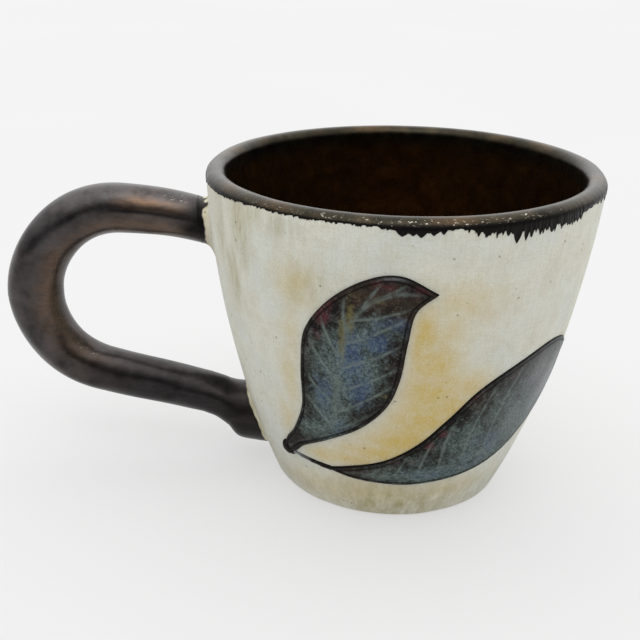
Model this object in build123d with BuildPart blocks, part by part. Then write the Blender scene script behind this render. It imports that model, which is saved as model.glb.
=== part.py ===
from build123d import *
import math
import os

# A hand-built stoneware mug: a flared cup, a thick coil handle and two raised leaves.
# Millimetres. +Z is up and the origin is the centre of the foot, on the resting plane.
# The handle points towards -X and the leaves are on the front, which faces -Y.

# ---------------------------------------------------------------- driving dimensions

cup_height = 89.0
rim_radius = 52.5            # over the glaze, at the lip
foot_radius = 32.0           # over the engobe, at the resting plane
wall_bulge = 4.0             # how far the wall's arc swells out of a straight cone
wall_thickness = 5.0         # clay and both coats together
floor_thickness = 5.5
coat = 0.4                   # thickness of the engobe and of the glaze
corner_radius = 7.0          # inside, where the wall meets the floor
foot_ring_width = 4.6
foot_recess = 1.4            # how far the floor stands above the resting plane
engobe_foot = 0.8            # the engobe stops this far above the resting plane
glaze_overlap = 4.4          # how far the rim glaze comes down the outside

handle_reach = 100.8         # from the cup's axis to the coil's centre line
handle_waist = 48.7          # height at which the two bends meet
upper_bend = 25.2
lower_bend = 22.4
lower_arm_slope = 12.5       # degrees below the horizontal, towards the cup
arm_radius = 90.0            # the upper arm's gentle arch
arm_turn = 17.6              # degrees that it turns through
lower_arm_length = 33.0
root_radius = 5.8            # the coil is rolled thickest where a hand closes round it
crest_radius = 6.7
waist_radius = 7.75
lower_bend_radius = 6.7
heel_radius = 6.4
sections_per_stretch = 5
# The heel that the coil's lower end is spread into: x, centre height, half height, half width.
heel_stations = [(-47.6, 17.2, 7.0, 7.0), (-43.6, 14.6, 8.4, 7.7), (-38.0, 13.5, 9.0, 8.2),
                 (-29.0, 13.0, 9.3, 8.4)]
# Collars: distance off the wall, half height and half width.
upper_joint_height = 70.6
upper_joint_lean = 7.0       # degrees that the wall leans there
upper_collar_stations = [(-2.5, 10.6, 9.6), (0.6, 9.2, 8.4), (2.2, 7.4, 7.0), (3.4, 6.6, 6.3)]
lower_joint_height = 14.0
lower_joint_lean = 20.0
lower_collar_stations = [(-2.5, 11.8, 10.0), (0.0, 11.3, 9.6), (1.4, 10.4, 8.6)]

leaf_relief = 1.1            # how far the leaves stand out of the engobe
stem_relief = 0.6
stem_width = 1.3
bud_radius = 2.1

# Places on the wall are given as (azimuth, height): degrees round from the front
# towards +X, and millimetres above the resting plane.
upper_leaf_base = (-45.0, 18.0)
upper_leaf_tip = (6.6, 71.2)
upper_leaf_left = [(-38.0, 26.0), (-33.2, 36.0), (-31.9, 48.0), (-29.6, 59.0),
                   (-21.7, 68.4), (-11.8, 74.4), (-3.0, 75.6)]
upper_leaf_right = [(-25.0, 26.0), (-13.0, 32.0), (-5.0, 39.3), (-1.6, 47.5),
                    (-0.3, 58.0), (1.2, 66.5)]
lower_leaf_base = (-28.0, 16.0)
lower_leaf_tip = (88.0, 38.0)
lower_leaf_top = [(-18.4, 18.1), (-4.3, 21.8), (6.8, 27.8), (15.2, 35.5),
                  (23.9, 43.6), (36.0, 49.3), (48.0, 52.0), (59.0, 51.2), (71.0, 46.5)]
lower_leaf_bottom = [(-16.3, 14.0), (2.3, 13.1), (19.7, 14.0), (36.5, 16.4),
                     (49.0, 21.0), (61.0, 28.0), (74.0, 34.5)]
stem_bend = (-36.0, 16.6)
stem_end = (-26.5, 16.1)
bud_place = (-46.0, 16.6)

# ---------------------------------------------------------------- worked out from them

lip_level = cup_height - wall_thickness / 2
glaze_edge = cup_height - glaze_overlap
clay_floor = foot_recess + floor_thickness
glazed_floor = clay_floor + coat

# The cup's half sections stand at the back right, so that the seams of what is revolved
# from them run down there, clear of the handle and the leaves.
half_section = Plane(origin=(0, 0, 0), x_dir=(1, 1, 0), z_dir=(1, -1, 0))

# The wall's outline is one arc from the foot to the lip.
chord = math.hypot(rim_radius - foot_radius, lip_level)
arc_radius = (chord**2 / 4 + wall_bulge**2) / (2 * wall_bulge)
arc_centre_r = (foot_radius + rim_radius) / 2 - lip_level / chord * (arc_radius - wall_bulge)
arc_centre_z = lip_level / 2 + (rim_radius - foot_radius) / chord * (arc_radius - wall_bulge)


def wall_radius(height, depth=0.0):
    """Radius of the surface that lies depth inside the cup's finished outside."""
    return arc_centre_r + math.sqrt((arc_radius - depth)**2 - (height - arc_centre_z)**2)


def wall_point(height, depth):
    """Point of that surface in the half section."""
    return (wall_radius(height, depth), height)


def wall_arc(start, end, depth):
    """The half section's arc at a depth, from one height to another."""
    middle = (start + end) / 2
    return ThreePointArc(wall_point(start, depth), wall_point(middle, depth),
                         wall_point(end, depth))


def lip_arc(outer_depth, inner_depth):
    """The round lip that joins the wall's outside to its inside."""
    outer = wall_radius(lip_level, outer_depth)
    inner = wall_radius(lip_level, inner_depth)
    crest = ((outer + inner) / 2, lip_level + (outer - inner) / 2)
    return ThreePointArc((outer, lip_level), crest, (inner, lip_level))


def round_corner(section, depth, level, radius):
    """Fillets the corner of a half section where the inside meets the floor."""
    corner = section.vertices().sort_by_distance((wall_radius(level, depth), level))[0]
    fillet(corner, radius=radius)


def leaf_plane(azimuth):
    """Upright plane outside the wall, facing out at an azimuth, with its origin at z = 0."""
    turn = math.radians(azimuth)
    outward = Vector(math.sin(turn), -math.cos(turn), 0)
    sideways = (math.cos(turn), math.sin(turn), 0)
    return Plane(origin=outward * (rim_radius + leaf_relief), x_dir=sideways, z_dir=outward)


def seen_from(azimuth, place):
    """A place on the wall, as it falls on the leaf plane at an azimuth."""
    turn = math.radians(place[0] - azimuth)
    return (wall_radius(place[1]) * math.sin(turn), place[1])


def on_clay(place):
    """Point of the clay wall's outside at a place."""
    turn = math.radians(place[0])
    distance = wall_radius(place[1], coat)
    return (distance * math.sin(turn), -distance * math.cos(turn), place[1])


# ---------------------------------------------------------------- shapes used to cut others

# Everything inside the clay wall's outside, filled.
with BuildPart() as clay_envelope:
    with BuildSketch(half_section):
        with BuildLine():
            wall_arc(0, lip_level, coat)
            top = (wall_radius(lip_level, coat), lip_level)
            Polyline(top, (0, lip_level), (0, 0), wall_point(0, coat))
        make_face()
    revolve(axis=Axis.Z)


def relief_shell(relief):
    """Solid ring on the clay wall, as thick as the engobe and a relief together."""
    with BuildPart() as shell:
        with BuildSketch(half_section):
            with BuildLine():
                wall_arc(engobe_foot, glaze_edge, -relief)
                Line(wall_point(glaze_edge, -relief), wall_point(glaze_edge, coat))
                wall_arc(glaze_edge, engobe_foot, coat)
                Line(wall_point(engobe_foot, coat), wall_point(engobe_foot, -relief))
            make_face()
        revolve(axis=Axis.Z)
    return shell.part


# ---------------------------------------------------------------- cup

with BuildPart() as cup_wall:
    inner_depth = wall_thickness - coat
    with BuildSketch(half_section) as wall_section:
        disc_radius = wall_radius(clay_floor, inner_depth) - corner_radius - coat
        ring_radius = wall_radius(0, coat) - foot_ring_width
        with BuildLine():
            wall_arc(0, lip_level, coat)
            lip_arc(coat, inner_depth)
            wall_arc(lip_level, clay_floor, inner_depth)
            Polyline(wall_point(clay_floor, inner_depth), (disc_radius, clay_floor),
                     (disc_radius, foot_recess), (ring_radius, foot_recess),
                     (ring_radius, 0), wall_point(0, coat))
        make_face()
        round_corner(wall_section, inner_depth, clay_floor, corner_radius + coat)
    revolve(axis=Axis.Z)

with BuildPart() as cup_floor:
    with BuildSketch(Plane.XY.offset(foot_recess)):
        Circle(disc_radius)
    extrude(amount=floor_thickness)

with BuildPart() as liner_glaze:
    with BuildSketch(half_section) as glaze_section:
        with BuildLine():
            wall_arc(glaze_edge, lip_level, 0)
            lip_arc(0, wall_thickness)
            wall_arc(lip_level, glazed_floor, wall_thickness)
            Polyline(wall_point(glazed_floor, wall_thickness), (0, glazed_floor),
                     (0, clay_floor), wall_point(clay_floor, inner_depth))
            wall_arc(clay_floor, lip_level, inner_depth)
            lip_arc(coat, inner_depth)
            wall_arc(lip_level, glaze_edge, coat)
            Line(wall_point(glaze_edge, coat), wall_point(glaze_edge, 0))
        make_face()
        round_corner(glaze_section, wall_thickness, glazed_floor, corner_radius)
        round_corner(glaze_section, inner_depth, clay_floor, corner_radius + coat)
    revolve(axis=Axis.Z)

# ---------------------------------------------------------------- handle

# The coil's centre line, from the cup outwards and back: a gently arched upper arm,
# two round bends and a straight lower arm.
crest_x = upper_bend - handle_reach
crest_height = handle_waist + upper_bend
with BuildLine(Plane.XZ):
    upper_arm = CenterArc((crest_x, crest_height - arm_radius), arm_radius, 90 - arm_turn, arm_turn)
    upper_curve = CenterArc((crest_x, handle_waist), upper_bend, 90, 90)
    lower_curve = CenterArc((lower_bend - handle_reach, handle_waist), lower_bend,
                            180, 90 - lower_arm_slope)
    lower_arm = PolarLine(lower_curve @ 1, lower_arm_length, -lower_arm_slope)

# Each stretch of the centre line, with the coil's radius at its start and at its end.
coil_stretches = [(upper_arm, root_radius, crest_radius),
                  (upper_curve, crest_radius, waist_radius),
                  (lower_curve, waist_radius, lower_bend_radius),
                  (lower_arm, lower_bend_radius, heel_radius)]


def across_coil(stretch, position):
    """Plane across the coil at a place on its centre line."""
    return Plane(stretch @ position, x_dir=(0, 1, 0), z_dir=stretch % position)


def across_heel(x, height):
    """Upright plane across the heel."""
    return Plane((x, 0, height), x_dir=(0, 1, 0), z_dir=(1, 0, 0))


def along_wall(height, stand_off, lean):
    """Plane that stands off the wall on the handle's side and leans as the wall does."""
    turn = math.radians(lean)
    outward = Vector(-math.cos(turn), 0, -math.sin(turn))
    on_wall = Vector(-wall_radius(height), 0, height)
    return Plane(on_wall + outward * stand_off, x_dir=(0, 1, 0), z_dir=outward)


# Coil and collars are first made running on into the clay wall, as blanks. Each piece is
# its blank cut off at the wall, and the blanks also leave the windows in the engobe.
with BuildPart() as handle_blank:
    for stretch, start_radius, end_radius in coil_stretches:
        for step in range(sections_per_stretch):
            position = step / sections_per_stretch
            with BuildSketch(across_coil(stretch, position)):
                Circle(start_radius + (end_radius - start_radius) * position)
    for x, height, half_height, half_width in heel_stations:
        with BuildSketch(across_heel(x, height)):
            Ellipse(half_width, half_height)
    loft()


def collar_blank(height, lean, stations):
    """Flared ring of clay round an end of the handle, still filled."""
    with BuildPart() as blank:
        for stand_off, half_height, half_width in stations:
            with BuildSketch(along_wall(height, stand_off, lean)):
                Ellipse(half_width, half_height)
        loft()
    return blank.part


upper_collar_blank = collar_blank(upper_joint_height, upper_joint_lean, upper_collar_stations)
lower_collar_blank = collar_blank(lower_joint_height, lower_joint_lean, lower_collar_stations)

with BuildPart() as handle:
    add(handle_blank.part)
    add(clay_envelope.part, mode=Mode.SUBTRACT)

with BuildPart() as upper_handle_collar:
    add(upper_collar_blank)
    add([clay_envelope.part, handle_blank.part], mode=Mode.SUBTRACT)

with BuildPart() as lower_handle_collar:
    add(lower_collar_blank)
    add([clay_envelope.part, handle_blank.part], mode=Mode.SUBTRACT)

# ---------------------------------------------------------------- leaves


def leaf_blank(base, one_side, tip, other_side):
    """Prism with a leaf's outline, from outside the wall to the cup's axis."""
    azimuth = (base[0] + tip[0]) / 2
    with BuildPart() as blank:
        with BuildSketch(leaf_plane(azimuth)):
            with BuildLine():
                for side in (one_side, other_side):
                    Spline(*[seen_from(azimuth, place) for place in [base, *side, tip]])
            make_face()
        extrude(amount=-rim_radius)
    return blank.part


upper_leaf_blank = leaf_blank(upper_leaf_base, upper_leaf_left, upper_leaf_tip, upper_leaf_right)
lower_leaf_blank = leaf_blank(lower_leaf_base, lower_leaf_top, lower_leaf_tip, lower_leaf_bottom)

with BuildPart() as stem_blank:
    stem_azimuth = stem_bend[0]
    with BuildSketch(leaf_plane(stem_azimuth)):
        with BuildLine() as stem_line:
            Spline(*[seen_from(stem_azimuth, place) for place in (bud_place, stem_bend, stem_end)])
        trace(stem_line.line, line_width=stem_width)
    extrude(amount=-rim_radius)

with BuildPart() as bud_blank:
    with Locations(on_clay(bud_place)):
        Sphere(bud_radius)

with BuildPart() as upper_leaf:
    add(upper_leaf_blank)
    add(relief_shell(leaf_relief), mode=Mode.INTERSECT)

with BuildPart() as lower_leaf:
    add(lower_leaf_blank)
    add(relief_shell(leaf_relief), mode=Mode.INTERSECT)

with BuildPart() as leaf_bud:
    add(bud_blank.part)
    add([clay_envelope.part, upper_leaf_blank], mode=Mode.SUBTRACT)

with BuildPart() as leaf_stem:
    add(stem_blank.part)
    add(relief_shell(stem_relief), mode=Mode.INTERSECT)
    add([bud_blank.part, upper_leaf_blank, lower_leaf_blank], mode=Mode.SUBTRACT)

# ---------------------------------------------------------------- engobe

# The white slip covers the clay wall below the glaze, round everything that is luted on.
with BuildPart() as white_engobe:
    add(relief_shell(0))
    add([handle_blank.part, upper_collar_blank, lower_collar_blank, upper_leaf_blank,
         lower_leaf_blank, stem_blank.part, bud_blank.part], mode=Mode.SUBTRACT)

# ---------------------------------------------------------------- export

pieces = {
    "cup_wall": cup_wall, "cup_floor": cup_floor, "liner_glaze": liner_glaze,
    "white_engobe": white_engobe, "handle": handle,
    "upper_handle_collar": upper_handle_collar, "lower_handle_collar": lower_handle_collar,
    "upper_leaf": upper_leaf, "lower_leaf": lower_leaf,
    "leaf_stem": leaf_stem, "leaf_bud": leaf_bud,
}
os.makedirs("parts", exist_ok=True)
for name, piece in pieces.items():
    piece.part.label = name
    export_step(piece.part, f"parts/{name}.step")
    print(name, round(piece.part.volume, 1), len(piece.solids()), piece.part.is_valid)
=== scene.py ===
import math
import random

import bmesh
import bpy
import numpy as np
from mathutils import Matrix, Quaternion, Vector


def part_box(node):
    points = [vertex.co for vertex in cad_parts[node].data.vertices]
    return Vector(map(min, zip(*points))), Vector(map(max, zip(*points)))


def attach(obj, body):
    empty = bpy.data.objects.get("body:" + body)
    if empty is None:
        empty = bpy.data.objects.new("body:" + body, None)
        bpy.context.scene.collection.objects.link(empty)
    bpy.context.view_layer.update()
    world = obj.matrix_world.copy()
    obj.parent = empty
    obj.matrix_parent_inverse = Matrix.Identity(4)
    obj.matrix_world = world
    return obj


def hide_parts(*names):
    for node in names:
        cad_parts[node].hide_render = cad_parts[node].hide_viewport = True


# The looks of a hand-built stoneware mug: white slip outside, a dark bronze glaze inside,
# over the lip and on the coil handle, and two raised leaves. Metres. +Z is up, the handle
# points towards -X and the leaves face -Y. Azimuths are degrees from the front towards +X.

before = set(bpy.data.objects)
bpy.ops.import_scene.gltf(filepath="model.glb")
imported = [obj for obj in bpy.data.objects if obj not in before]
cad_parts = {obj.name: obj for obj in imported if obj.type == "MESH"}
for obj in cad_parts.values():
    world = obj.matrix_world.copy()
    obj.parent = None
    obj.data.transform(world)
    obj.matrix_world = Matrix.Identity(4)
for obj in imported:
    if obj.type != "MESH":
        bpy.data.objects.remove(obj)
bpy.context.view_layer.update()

mm = 0.001


def unit(value):
    """The value, kept between 0 and 1."""
    return np.clip(value, 0, 1)


def bell(away, width):
    """1 where away is nothing, fading to either side over a width."""
    return np.exp(-(away / width)**2)


# ---------------------------------------------------------------- sizes, from the frame

_, cup_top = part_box("liner_glaze")
handle_low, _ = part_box("handle")
_, clay_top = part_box("cup_wall")
floor_low, floor_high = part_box("cup_floor")

cup_height = cup_top.z
rim_radius = cup_top.x
coat = rim_radius - clay_top.x
floor_radius = floor_high.x
foot_radius = 32.0 * mm
wall_bulge = 4.0 * mm
wall_thickness = 5.0 * mm
corner_radius = 7.0 * mm
foot_ring_width = 4.6 * mm

lip_radius = wall_thickness / 2
lip_level = cup_height - lip_radius
slip_reach = 2.0 * mm        # how far the slip runs up over the lip's edge, under the glaze
inner_depth = wall_thickness - coat     # from the cup's outside to the clay's inside
inside_level = floor_high.z + coat      # the glazed floor of the cup
chord = math.hypot(rim_radius - foot_radius, lip_level)
arc_radius = (chord**2 / 4 + wall_bulge**2) / (2 * wall_bulge)
arc_centre_r = (foot_radius + rim_radius) / 2 - lip_level / chord * (arc_radius - wall_bulge)
arc_centre_z = lip_level / 2 + (rim_radius - foot_radius) / chord * (arc_radius - wall_bulge)

rim_tilt = 0.023             # the lip is a little higher away from the handle
# Hand-made unevenness: waves round the cup, radians per metre up it, swell and phase.
wall_waves = [(2, 18.0, 0.11 * mm, 1.3), (3, -31.0, 0.09 * mm, 4.1), (5, 47.0, 0.07 * mm, 2.2),
              (8, -83.0, 0.05 * mm, 0.7), (13, 129.0, 0.035 * mm, 5.2),
              (21, -210.0, 0.025 * mm, 3.3)]


def wall_radius(height, depth=0.0):
    """Radius of the surface that lies depth inside the cup's finished outside."""
    return arc_centre_r + np.sqrt((arc_radius - depth)**2 - (height - arc_centre_z)**2)


def place(azimuth, radius, height):
    """Points of the cup, pushed about as the maker's hands left it."""
    turn = np.radians(azimuth)
    swell = sum(size * np.sin(round_cup * turn + up * height + phase)
                for round_cup, up, size, phase in wall_waves)
    outward = radius + swell * unit(radius / foot_radius)
    x = outward * np.sin(turn)
    y = -outward * np.cos(turn)
    z = height + rim_tilt * x * unit(height / cup_height)
    return np.stack(np.broadcast_arrays(x, y, z), axis=-1)


# ---------------------------------------------------------------- building meshes

def turns_of(count, whole=2 * math.pi):
    """Evenly spaced turns of a circle, in radians unless another whole turn is given."""
    return whole * np.arange(count) / count


def ring_of(count):
    """Azimuths of a ring of points, starting at the back."""
    return -180 + turns_of(count, 360)


def band(upper, lower, upper_count, lower_count):
    """Faces between two rings, one of which may have several times the points of the other."""
    if upper_count == 1:
        return [(upper, lower + i, lower + (i + 1) % lower_count) for i in range(lower_count)]
    if lower_count == 1:
        return [(lower, upper + (i + 1) % upper_count, upper + i) for i in range(upper_count)]
    faces = []
    cells = min(upper_count, lower_count)
    up_step, low_step = upper_count // cells, lower_count // cells
    for i in range(cells):
        top = [upper + (i * up_step + k) % upper_count for k in range(up_step + 1)]
        bottom = [lower + (i * low_step + k) % lower_count for k in range(low_step + 1)]
        faces.append(top[::-1] + bottom)
    return faces


def solid_of_rings(name, rings, joined_ends=False):
    """Closed mesh through rings of points; its ends are single points or meet each other."""
    starts = np.cumsum([0] + [len(ring) for ring in rings])
    faces = []
    for k in range(len(rings) - 1):
        faces += band(starts[k], starts[k + 1], len(rings[k]), len(rings[k + 1]))
    if joined_ends:
        faces += band(starts[len(rings) - 1], starts[0], len(rings[-1]), len(rings[0]))
    return add_mesh(name, np.concatenate(rings), faces)


def add_mesh(name, points, faces):
    """A smooth-shaded object from points and faces."""
    mesh = bpy.data.meshes.new(name)
    mesh.from_pydata([tuple(p) for p in points], [], [[int(i) for i in f] for f in faces])
    mesh.validate()
    mesh.polygons.foreach_set("use_smooth", np.ones(len(mesh.polygons), bool))
    mesh.update()
    piece = bpy.data.objects.new(name, mesh)
    bpy.context.scene.collection.objects.link(piece)
    return piece


def points_of(piece):
    """The points of a piece, as rows of x, y and z."""
    return np.array([v.co for v in piece.data.vertices])


def azimuth_of(points):
    """Degrees round the cup of each point, from the front towards +X."""
    return np.degrees(np.arctan2(points[:, 0], -points[:, 1]))


def paint(piece, name, values):
    """Stores one number per point, for the material to read by name."""
    layer = piece.data.attributes.new(name, "FLOAT", "POINT")
    layer.data.foreach_set("value", np.asarray(values, np.float32).ravel())


def finish_piece(piece, material, slot, *nodes):
    """Gives a piece its material and its place in the record."""
    piece.data.materials.append(material)
    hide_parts(*nodes)
    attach(piece, "root")


def smooth_through(stations, steps):
    """Catmull-Rom curve through stations, with so many steps between each two."""
    stations = np.asarray(stations, float)
    first = 2 * stations[0] - stations[1]
    last = 2 * stations[-1] - stations[-2]
    knots = np.vstack([first, stations, last])
    curve = []
    for k in range(1, len(knots) - 2):
        before, start, end, after = knots[k - 1:k + 3]
        for t in np.arange(steps) / steps:
            curve.append(0.5 * (2 * start + (end - before) * t
                                + (2 * before - 5 * start + 4 * end - after) * t**2
                                + (3 * start - before - 3 * end + after) * t**3))
    curve.append(stations[-1])
    return np.array(curve)


def evenly(curve, count):
    """The same curve, as evenly spaced points."""
    steps = np.linalg.norm(np.diff(curve, axis=0), axis=1)
    along = np.concatenate([[0], np.cumsum(steps)])
    wanted = np.linspace(0, along[-1], count)
    return np.stack([np.interp(wanted, along, curve[:, k]) for k in range(curve.shape[1])], 1)


def distance_to(points, lines):
    """Distance of each point from the nearest of some open lines."""
    best = np.full(len(points), np.inf)
    for line in lines:
        for start, end in zip(line[:-1], line[1:]):
            run = end - start
            t = unit(((points - start) @ run) / max(run @ run, 1e-12))
            gap = np.linalg.norm(points - start - t[:, None] * run, axis=1)
            best = np.minimum(best, gap)
    return best


# ---------------------------------------------------------------- materials

class Finish:
    """A material being mixed: short ways to add its nodes and to join them."""

    def __init__(self, name):
        self.material = bpy.data.materials.new(name)
        self.material.use_nodes = True
        self.tree = self.material.node_tree
        self.shader = self.tree.nodes["Principled BSDF"]
        self.here = self.node("ShaderNodeTexCoord").outputs["Object"]
        self.colour = None

    def join(self, value, socket):
        if isinstance(value, bpy.types.NodeSocket):
            self.tree.links.new(value, socket)
        else:
            socket.default_value = value

    def node(self, kind, inputs=None, **settings):
        made = self.tree.nodes.new(kind)
        for setting, value in settings.items():
            setattr(made, setting, value)
        for socket, value in (inputs or {}).items():
            self.join(value, made.inputs[socket])
        return made

    def noise(self, size, detail=3.0, roughness=0.55, stretch=(1, 1, 1), shift=0.0):
        """Cloudy noise with blobs about so many metres across, longer where stretched."""
        mapping = self.node("ShaderNodeMapping", {
            "Vector": self.here, "Location": (shift, shift, shift),
            "Scale": tuple(1 / (size * s) for s in stretch)})
        return self.node("ShaderNodeTexNoise", {
            "Vector": mapping.outputs["Vector"], "Scale": 1.0,
            "Detail": detail, "Roughness": roughness}).outputs["Fac"]

    def specks(self, size, coverage):
        """Small round spots on a grid of cells, covering about this share of them."""
        cells = self.node("ShaderNodeTexVoronoi", {"Vector": self.here, "Scale": 1 / size})
        near = self.span(cells.outputs["Distance"], 0.20, 0.09)
        chosen = self.node("ShaderNodeSeparateColor", {"Color": cells.outputs["Color"]})
        picked = self.span(chosen.outputs["Red"], 1 - coverage, 1 - coverage * 0.8)
        return self.times(near, picked)

    def painted(self, name):
        return self.node("ShaderNodeAttribute", attribute_name=name).outputs["Fac"]

    def span(self, value, low, high):
        """0 below low and 1 above high, with an even slope between."""
        return self.node("ShaderNodeMapRange", {
            "Value": value, "From Min": low, "From Max": high}).outputs["Result"]

    def math(self, operation, first, second):
        return self.node("ShaderNodeMath", {0: first, 1: second},
                         operation=operation).outputs["Value"]

    def times(self, first, second):
        return self.math("MULTIPLY", first, second)

    def plus(self, first, second):
        return self.math("ADD", first, second)

    def mix(self, share, under, over):
        """Colour over colour, by a share from 0 to 1."""
        mixer = self.node("ShaderNodeMix", data_type="RGBA")
        self.join(share, mixer.inputs[0])
        self.join(under, mixer.inputs[6])
        self.join(over, mixer.inputs[7])
        return mixer.outputs[2]

    def lay(self, share, over):
        """Lays a colour over the one mixed so far, by a share from 0 to 1."""
        self.colour = self.mix(share, self.colour, over)

    def tint(self, value, low, high, amount, over):
        """Lays so much of a colour over the one so far where a value rises from low to high."""
        self.lay(self.times(self.span(value, low, high), amount), over)

    def ramp(self, value, *stops):
        """Colours or greys along a value."""
        made = self.node("ShaderNodeValToRGB", {"Fac": value})
        elements = made.color_ramp.elements
        while len(elements) < len(stops):
            elements.new(0.5)
        for element, (position, colour) in zip(elements, stops):
            element.position = position
            element.color = colour
        return made.outputs["Color"]

    def bumps(self, height, distance, strength=1.0, under=None):
        """Relief of so many metres, laid over another one."""
        made = self.node("ShaderNodeBump", {
            "Height": height, "Distance": distance, "Strength": strength})
        if under is not None:
            self.join(under, made.inputs["Normal"])
        return made.outputs["Normal"]

    def set(self, **inputs):
        for socket, value in inputs.items():
            self.join(value, self.shader.inputs[socket.replace("_", " ")])


def shade(red, green, blue):
    """A colour as the eye reads it, from 0 to 255, made linear."""
    def linear(level):
        level = level / 255
        return level / 12.92 if level <= 0.04045 else ((level + 0.055) / 1.055)**2.4
    return (linear(red), linear(green), linear(blue), 1.0)


def engobe_finish():
    """Matt white slip: brushed on thin, stained ochre and olive, with a cloth-like grain."""
    slip = Finish("white_slip")
    broad = slip.noise(20 * mm, 4)
    brushed = slip.noise(0.8 * mm, 5, 0.65, stretch=(1, 1, 14))
    level = slip.noise(0.5 * mm, 4, 0.65, stretch=(9, 9, 1), shift=3.0)
    grain = slip.noise(0.45 * mm, 3, 0.7)
    patchy = slip.noise(4.5 * mm, 5, 0.65, shift=4.0)
    slip.colour = slip.ramp(broad, (0.3, shade(212, 208, 194)), (0.5, shade(219, 220, 209)),
                            (0.7, shade(211, 215, 208)))
    slip.tint(patchy, 0.42, 0.66, 0.30, shade(198, 192, 168))
    slip.tint(brushed, 0.46, 0.66, 0.20, shade(186, 180, 160))
    slip.tint(level, 0.48, 0.68, 0.18, shade(188, 184, 166))
    slip.tint(grain, 0.50, 0.72, 0.30, shade(178, 172, 150))
    slip.tint(grain, 0.48, 0.34, 0.25, shade(234, 234, 227))

    ochre = slip.painted("ochre")
    cloudy = slip.plus(0.72, slip.times(slip.span(patchy, 0.34, 0.62), 0.28))
    dusty = slip.plus(0.80, slip.times(slip.span(grain, 0.40, 0.62), 0.30))
    slip.lay(slip.times(slip.times(ochre, cloudy), dusty), shade(203, 176, 92))
    deep = slip.times(slip.times(ochre, ochre),
                      slip.span(slip.noise(1.9 * mm, 5, 0.75), 0.52, 0.70))
    slip.lay(slip.times(deep, 0.25), shade(182, 138, 62))

    olive = slip.painted("olive")
    stained = slip.times(olive, slip.span(slip.noise(2.4 * mm, 5, 0.7, stretch=(1, 1, 5),
                                                     shift=7.0), 0.30, 0.60))
    slip.lay(stained, shade(152, 142, 94))

    speckle = slip.plus(slip.specks(2.1 * mm, 0.06), slip.specks(1.1 * mm, 0.04))
    slip.lay(slip.times(speckle, 0.6), shade(84, 78, 62))
    # Grey washes low on the wall, with painted shade on the left below the handle.
    slip.lay(slip.painted("grey_wash_and_shade"), shade(140, 144, 142))
    seam = slip.painted("seam")
    bronze = slip.mix(slip.painted("soot_and_shade"), shade(68, 65, 65), shade(24, 22, 21))
    slip.lay(seam, bronze)

    tooth = slip.bumps(grain, 0.12 * mm, 0.7)
    tooth = slip.bumps(brushed, 0.10 * mm, 0.5, tooth)
    tooth = slip.bumps(level, 0.08 * mm, 0.5, tooth)
    tooth = slip.bumps(patchy, 0.5 * mm, 0.5, tooth)
    matt = slip.plus(0.62, slip.times(grain, 0.25))
    slip.set(Base_Color=slip.colour, Normal=tooth, Metallic=slip.times(seam, 0.9),
             Roughness=slip.plus(matt, slip.times(seam, -0.34)), Specular_IOR_Level=0.25)
    return slip.material


def bronze_finish(name, dark, mid, light, copper, warmth):
    """Satin metallic glaze: graphite that breaks to copper brown where it runs thin."""
    glaze = Finish(name)
    cloud = glaze.noise(16 * mm, 3, 0.5)
    mottle = glaze.noise(5.0 * mm, 4, 0.55, shift=5.0)
    pits = glaze.noise(0.45 * mm, 3, 0.6, shift=2.0)
    streaky = glaze.noise(1.3 * mm, 5, 0.7, stretch=(4, 4, 1))
    glaze.colour = glaze.ramp(mottle, (0.28, dark), (0.50, mid), (0.75, light))
    glaze.tint(pits, 0.50, 0.70, 0.35, dark)
    thin = glaze.times(glaze.span(cloud, 0.44, 0.68), glaze.span(mottle, 0.30, 0.60))
    worn = glaze.plus(glaze.times(thin, warmth),
                      glaze.times(glaze.painted("copper"), glaze.span(streaky, 0.25, 0.58)))
    glaze.lay(worn, copper)
    brown = glaze.ramp(glaze.noise(6 * mm, 5, 0.7, shift=1.0), (0.35, shade(56, 37, 17)),
                       (0.52, shade(73, 49, 21)), (0.70, shade(93, 62, 29)))
    glaze.lay(glaze.painted("inside"), brown)
    # Darkening: burnt black at the hem, dark joints, a darker lower arm, and painted shade on the
    # lip's outer face, deep in the cup and in a band along the upper arm.
    soot_and_shade = glaze.painted("soot_and_shade")
    ragged_soot_and_shade = glaze.span(glaze.plus(soot_and_shade, glaze.times(glaze.plus(streaky, -0.5), 0.5)),
                             0.05, 0.95)
    glaze.lay(ragged_soot_and_shade, shade(24, 22, 21))
    # White specks, and painted glints: highlights painted along the lip's crest and on the handle's
    # lower arm.
    sparkle = glaze.span(glaze.noise(0.42 * mm, 3, 0.7, stretch=(2.6, 2.6, 0.8), shift=8.0),
                         0.60, 0.70)
    glaze.lay(glaze.times(glaze.painted("specks_and_glints"), sparkle), shade(216, 210, 196))
    relief = glaze.bumps(pits, 0.05 * mm, 0.5)
    relief = glaze.bumps(mottle, 0.20 * mm, 0.5, relief)
    relief = glaze.bumps(cloud, 1.0 * mm, 0.5, relief)
    satin = glaze.plus(0.20, glaze.times(mottle, 0.16))
    glaze.set(Base_Color=glaze.colour, Normal=relief, Metallic=0.9,
              Roughness=glaze.plus(satin, glaze.times(ragged_soot_and_shade, 0.10)))
    return glaze.material


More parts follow.
